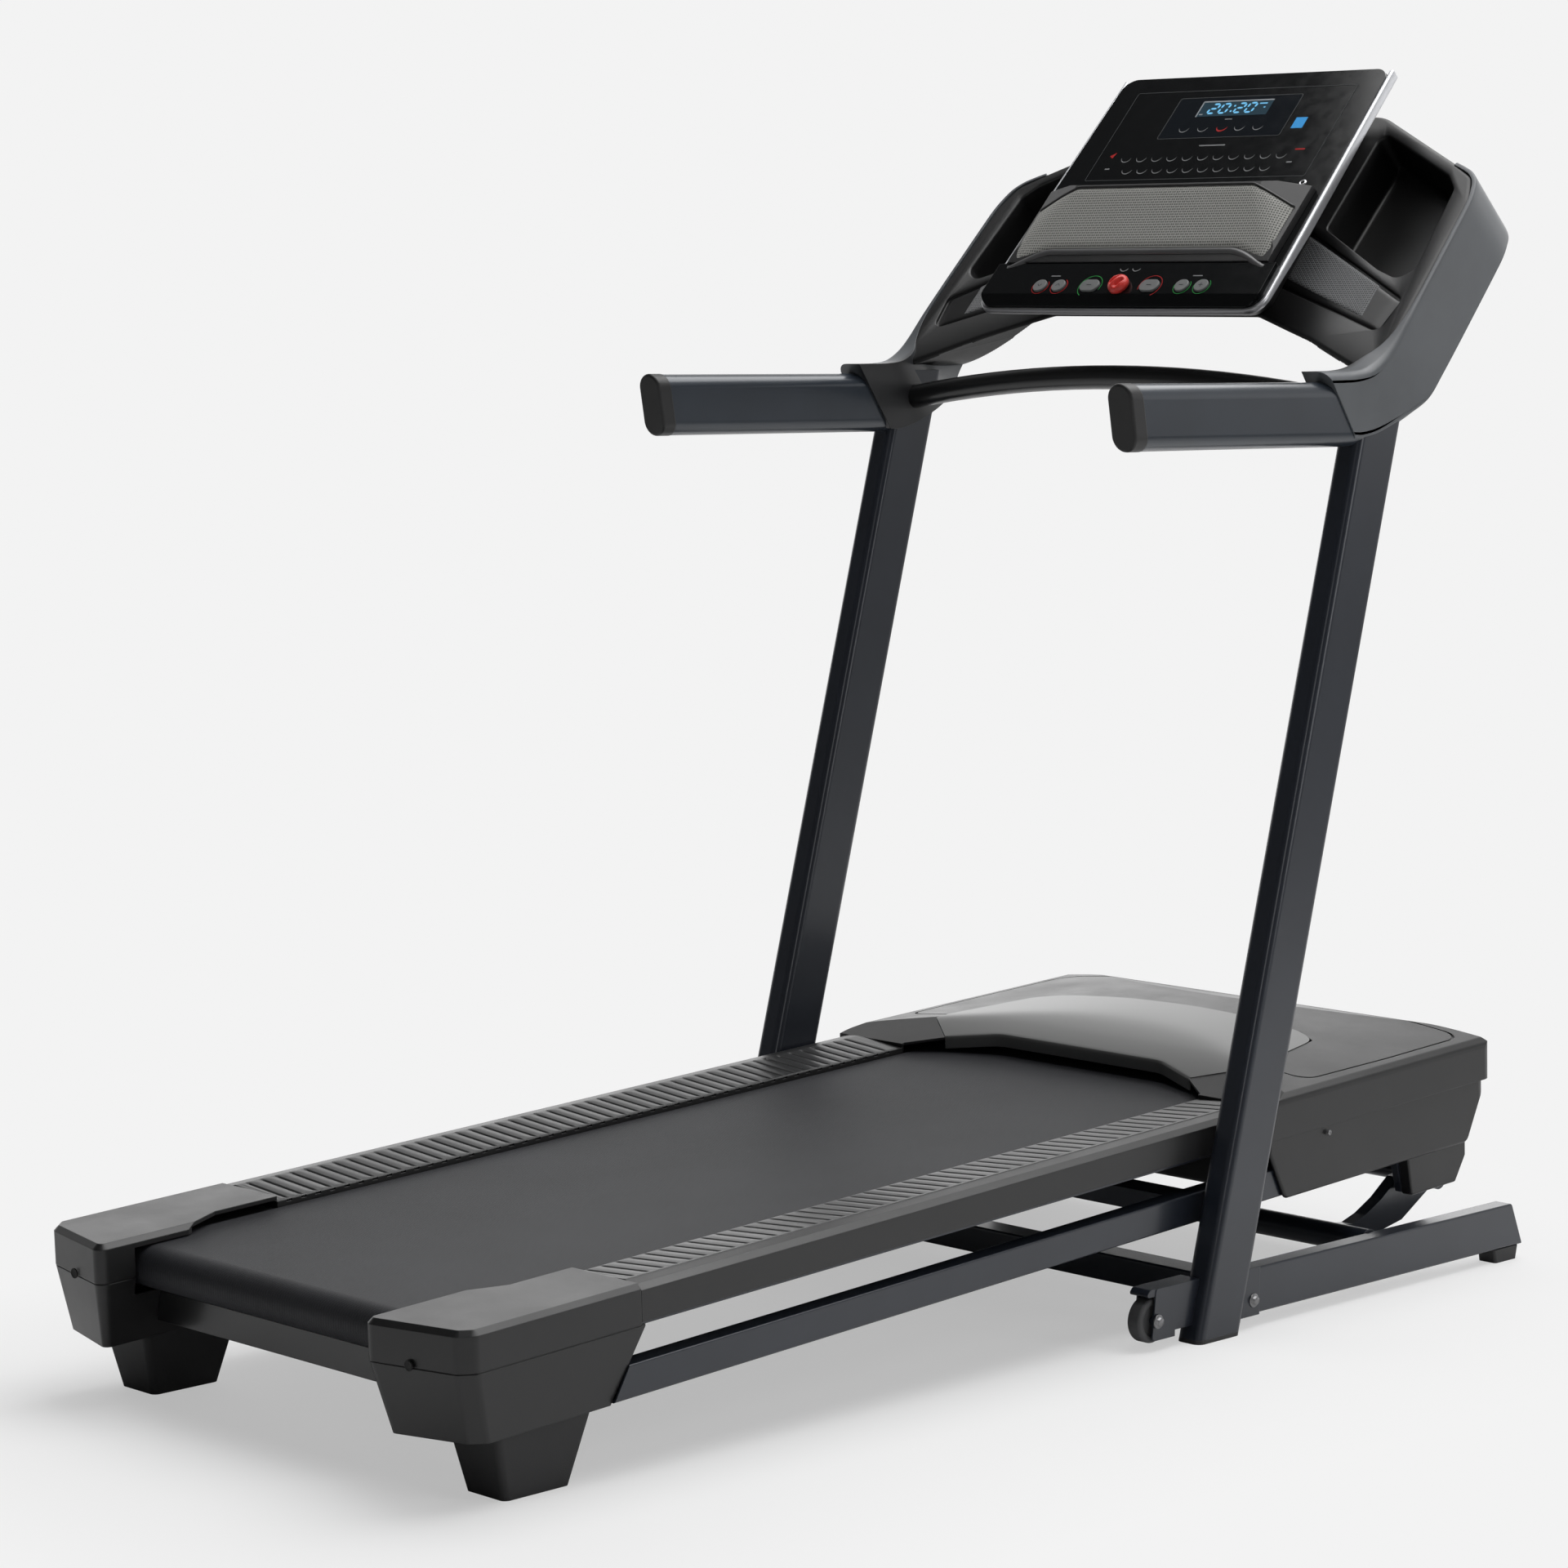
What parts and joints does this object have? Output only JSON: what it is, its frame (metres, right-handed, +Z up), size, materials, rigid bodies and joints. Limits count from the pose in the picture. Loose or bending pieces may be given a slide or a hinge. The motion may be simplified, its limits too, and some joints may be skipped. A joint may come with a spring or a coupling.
{
  "type": "folding treadmill",
  "caption": "Folding treadmill with a powered running belt, ribbed foot rails, motor hood, leaning uprights, long handlebars and a sloping console.",
  "frame": {"origin": "on the floor, under the middle of the outline", "axes": "+X to the user's right, +Y towards the motor hood, +Z up"},
  "size_m": [0.838, 1.8702, 1.58],
  "materials": {
    "frame_paint": "satin dark slate powder coat",
    "black_plastic": "fine-grained black moulding",
    "foot_rubber": "matt black rubber",
    "wheel_rubber": "grey non-marking rubber",
    "handle_paint": "satin blue-grey",
    "cheek_plastic": "satin blue-grey moulding",
    "gloss_face": "gloss black",
    "silver_trim": "silver lacquer",
    "display_glass": "dark display window",
    "grille_fabric": "woven grey-green cloth",
    "key_gray": "satin dark grey",
    "key_green": "dark key with a green ring",
    "key_red": "red",
    "bright_steel": "turned steel",
    "motor_iron": "black lacquer",
    "deck_plastic": "textured warm dark grey",
    "belt_rubber": "fine-textured charcoal",
    "board_wood": "waxed fibreboard"
  },
  "bodies": {
    "base": {"upright_r": "frame_paint", "upright_l": "frame_paint", "upright_shoe_r": "black_plastic", "upright_shoe_l": "black_plastic", "base_tube_r": "frame_paint", "base_tube_l": "frame_paint", "base_cross": "frame_paint", "front_pad_r": "foot_rubber", "front_pad_l": "foot_rubber", "wheel_bracket_r": "black_plastic", "wheel_bracket_l": "black_plastic", "handlebar_r": "handle_paint", "handlebar_l": "handle_paint", "handle_cap_r": "black_plastic", "handle_cap_l": "black_plastic", "crossbar": "frame_paint", "arm_cheek_r": "cheek_plastic", "arm_cheek_l": "cheek_plastic", "console_housing": "black_plastic", "console_shell": "black_plastic", "console_rim": "silver_trim", "console_panel": "gloss_face", "display_glass": "display_glass", "device_holder": "black_plastic", "speaker_mesh": "grille_fabric", "key_panel": "gloss_face"},
    "deck": {"deck_board": "board_wood", "walking_belt": "belt_rubber", "rear_cross": "frame_paint", "deck_cross": "frame_paint", "hood_top": "deck_plastic", "hood_plate": "silver_trim", "hood_lower": "deck_plastic", "drive_motor": "motor_iron", "side_frame_r": "frame_paint", "side_frame_l": "frame_paint", "foot_rail_r": "deck_plastic", "foot_rail_l": "deck_plastic", "end_cap_r": "deck_plastic", "end_cap_l": "deck_plastic", "rear_foot_r": "foot_rubber", "rear_foot_l": "foot_rubber", "lower_tube_r": "frame_paint", "lower_tube_l": "frame_paint", "pivot_guard_r": "deck_plastic", "pivot_guard_l": "deck_plastic"},
    "lift": {"lift_frame": "frame_paint"},
    "sleeve": {"pivot_sleeve": "bright_steel"},
    "wheel_right": {"transport_wheel_r": "wheel_rubber"},
    "wheel_left": {"transport_wheel_l": "wheel_rubber"},
    "front_drum": {"front_roller": "bright_steel"},
    "rear_drum": {"rear_roller": "bright_steel"},
    "drive": {"flywheel": "bright_steel"},
    "safety": {"safety_key": "key_red"},
    "key_incline_down_cap": {"key_incline_down": "key_gray"},
    "key_incline_up_cap": {"key_incline_up": "key_gray"},
    "key_start_cap": {"key_start": "key_green"},
    "key_stop_cap": {"key_stop": "key_red"},
    "key_speed_down_cap": {"key_speed_down": "key_gray"},
    "key_speed_up_cap": {"key_speed_up": "key_gray"}
  },
  "joints": [
    {"name": "incline", "type": "hinge", "parent": "base", "child": "lift", "pos_m": [0, 0.63, 0.062], "axis": [1, 0, 0], "range_deg": [-23.5, 26]},
    {"name": "deck_follow", "type": "hinge", "parent": "lift", "child": "sleeve", "pos_m": [0, 0.82, 0.116], "axis": [1, 0, 0], "range_deg": [-23.1, 20.9]},
    {"name": "fold", "type": "hinge", "parent": "sleeve", "child": "deck", "pos_m": [0, 0.82, 0.116], "axis": [-1, 0, 0], "range_deg": [0, 62]},
    {"name": "motor_spin", "type": "hinge", "parent": "deck", "child": "drive", "pos_m": [0, 0.76063, 0.22433], "axis": [1, 0, 0], "continuous": true},
    {"name": "front_drum_spin", "type": "hinge", "parent": "deck", "child": "front_drum", "pos_m": [0, 0.58975, 0.23741], "axis": [1, 0, 0], "continuous": true},
    {"name": "rear_drum_spin", "type": "hinge", "parent": "deck", "child": "rear_drum", "pos_m": [0, -0.8564, 0.16415], "axis": [1, 0, 0], "continuous": true},
    {"name": "wheel_right_spin", "type": "hinge", "parent": "base", "child": "wheel_right", "pos_m": [0.385, 0.172, 0.038], "axis": [1, 0, 0], "continuous": true},
    {"name": "wheel_left_spin", "type": "hinge", "parent": "base", "child": "wheel_left", "pos_m": [-0.385, 0.172, 0.038], "axis": [1, 0, 0], "continuous": true},
    {"name": "key_incline_down_press", "type": "slide", "parent": "base", "child": "key_incline_down_cap", "axis": [0, 0.7349, -0.6782], "range_m": [0, 0.0012], "stiffness_N_per_m": 300},
    {"name": "key_incline_up_press", "type": "slide", "parent": "base", "child": "key_incline_up_cap", "axis": [0, 0.7349, -0.6782], "range_m": [0, 0.0012], "stiffness_N_per_m": 300},
    {"name": "key_start_press", "type": "slide", "parent": "base", "child": "key_start_cap", "axis": [0, 0.7349, -0.6782], "range_m": [0, 0.0012], "stiffness_N_per_m": 300},
    {"name": "key_stop_press", "type": "slide", "parent": "base", "child": "key_stop_cap", "axis": [0, 0.7349, -0.6782], "range_m": [0, 0.0012], "stiffness_N_per_m": 300},
    {"name": "key_speed_down_press", "type": "slide", "parent": "base", "child": "key_speed_down_cap", "axis": [0, 0.7349, -0.6782], "range_m": [0, 0.0012], "stiffness_N_per_m": 300},
    {"name": "key_speed_up_press", "type": "slide", "parent": "base", "child": "key_speed_up_cap", "axis": [0, 0.7349, -0.6782], "range_m": [0, 0.0012], "stiffness_N_per_m": 300},
    {"name": "safety_key_pull", "type": "slide", "parent": "base", "child": "safety", "axis": [0, -0.7349, 0.6782], "range_m": [0, 0.02]}
  ],
  "couplings": [
    {"joint": "deck_follow", "follows": "incline", "ratio": -0.885},
    {"joint": "front_drum_spin", "follows": "motor_spin", "ratio": 0.5},
    {"joint": "rear_drum_spin", "follows": "motor_spin", "ratio": 0.5}
  ]
}
